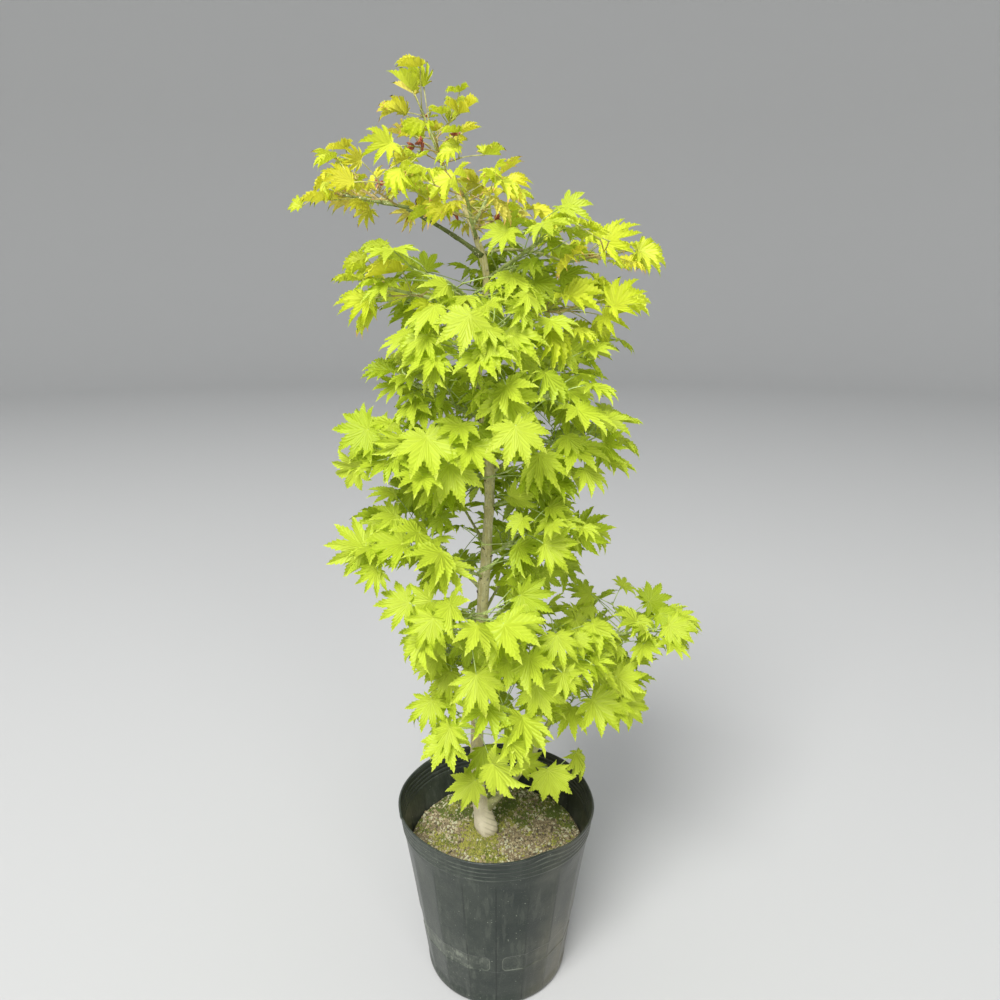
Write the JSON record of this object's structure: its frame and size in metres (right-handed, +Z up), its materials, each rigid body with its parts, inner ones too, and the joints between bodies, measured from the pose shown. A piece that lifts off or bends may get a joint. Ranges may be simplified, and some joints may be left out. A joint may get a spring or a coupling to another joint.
{
  "type": "potted golden painted maple",
  "caption": "Young golden-leaved maple with a slim leaning trunk, short boughs and layered masses of lobed leaves, in a thin black tapered nursery pot filled with soil.",
  "frame": {"origin": "middle of the pot's flat underside, on the surface that it stands on", "axes": "+Z up along the pot's axis and the trunk, +X to the right and -Y to the front as the plant is seen from its show side"},
  "size_m": [0.3819, 0.3004, 0.9262],
  "materials": {
    "pot_plastic": "thin black moulded plastic with a low sheen and a dusty band near the foot",
    "soil": "tan and brown pumice and clay grains",
    "moss": "low yellow-green moss",
    "bark": "grey-brown bark with pale flecks and ring scars",
    "green_bark": "smooth olive bark of young limbs and twigs",
    "leaf_gold": "soft golden-yellow young leaf",
    "leaf_lime": "soft lime-yellow leaf",
    "leaf_green": "soft leaf in a greener shade",
    "bud_scale": "small dull red bud scales"
  },
  "bodies": {
    "root": {"pot": "pot_plastic", "soil": "soil", "trunk": "bark", "bough_foot_right": "green_bark", "bough_foot_outer": "green_bark", "bough_foot_low": "green_bark", "bough_foot_back": "green_bark", "bough_skirt_front": "green_bark", "bough_skirt_back": "green_bark", "bough_waist_front": "green_bark", "bough_waist_right": "green_bark", "bough_waist_back": "green_bark", "bough_low_left": "green_bark", "bough_low_back": "green_bark", "bough_middle_left": "green_bark", "bough_middle_right": "green_bark", "bough_middle_front": "green_bark", "bough_middle_back": "green_bark", "bough_shoulder_left": "green_bark", "bough_shoulder_right": "green_bark", "bough_shoulder_front": "green_bark", "bough_shoulder_back": "green_bark", "bough_upper_left": "green_bark", "bough_upper_right": "green_bark", "leaves_crown_tip": "leaf_gold", "leaves_upper_left": "leaf_gold", "leaves_upper_right": "leaf_gold", "leaves_upper_back": "leaf_gold", "leaves_upper_front": "leaf_gold", "leaves_neck_right": "leaf_lime", "leaves_neck_left": "leaf_lime", "leaves_neck_back": "leaf_green", "leaves_shoulder_left": "leaf_lime", "leaves_shoulder_right": "leaf_lime", "leaves_shoulder_front": "leaf_lime", "leaves_shoulder_back": "leaf_green", "leaves_breast_right": "leaf_lime", "leaves_middle_left": "leaf_lime", "leaves_middle_right": "leaf_lime", "leaves_middle_front": "leaf_lime", "leaves_middle_back": "leaf_green", "leaves_breast_left": "leaf_lime", "leaves_belly_left": "leaf_lime", "leaves_belly_right": "leaf_lime", "leaves_low_left": "leaf_lime", "leaves_low_front": "leaf_lime", "leaves_low_right": "leaf_lime", "leaves_low_back": "leaf_green", "leaves_waist_front": "leaf_lime", "leaves_waist_left": "leaf_lime", "leaves_waist_right": "leaf_lime", "leaves_waist_back": "leaf_green", "leaves_skirt_front": "leaf_lime", "leaves_skirt_back": "leaf_green", "leaves_foot_front": "leaf_lime", "leaves_foot_right": "leaf_lime", "leaves_foot_outer": "leaf_lime", "leaves_foot_low": "leaf_lime", "leaves_foot_back": "leaf_green"}
  },
  "joints": []
}
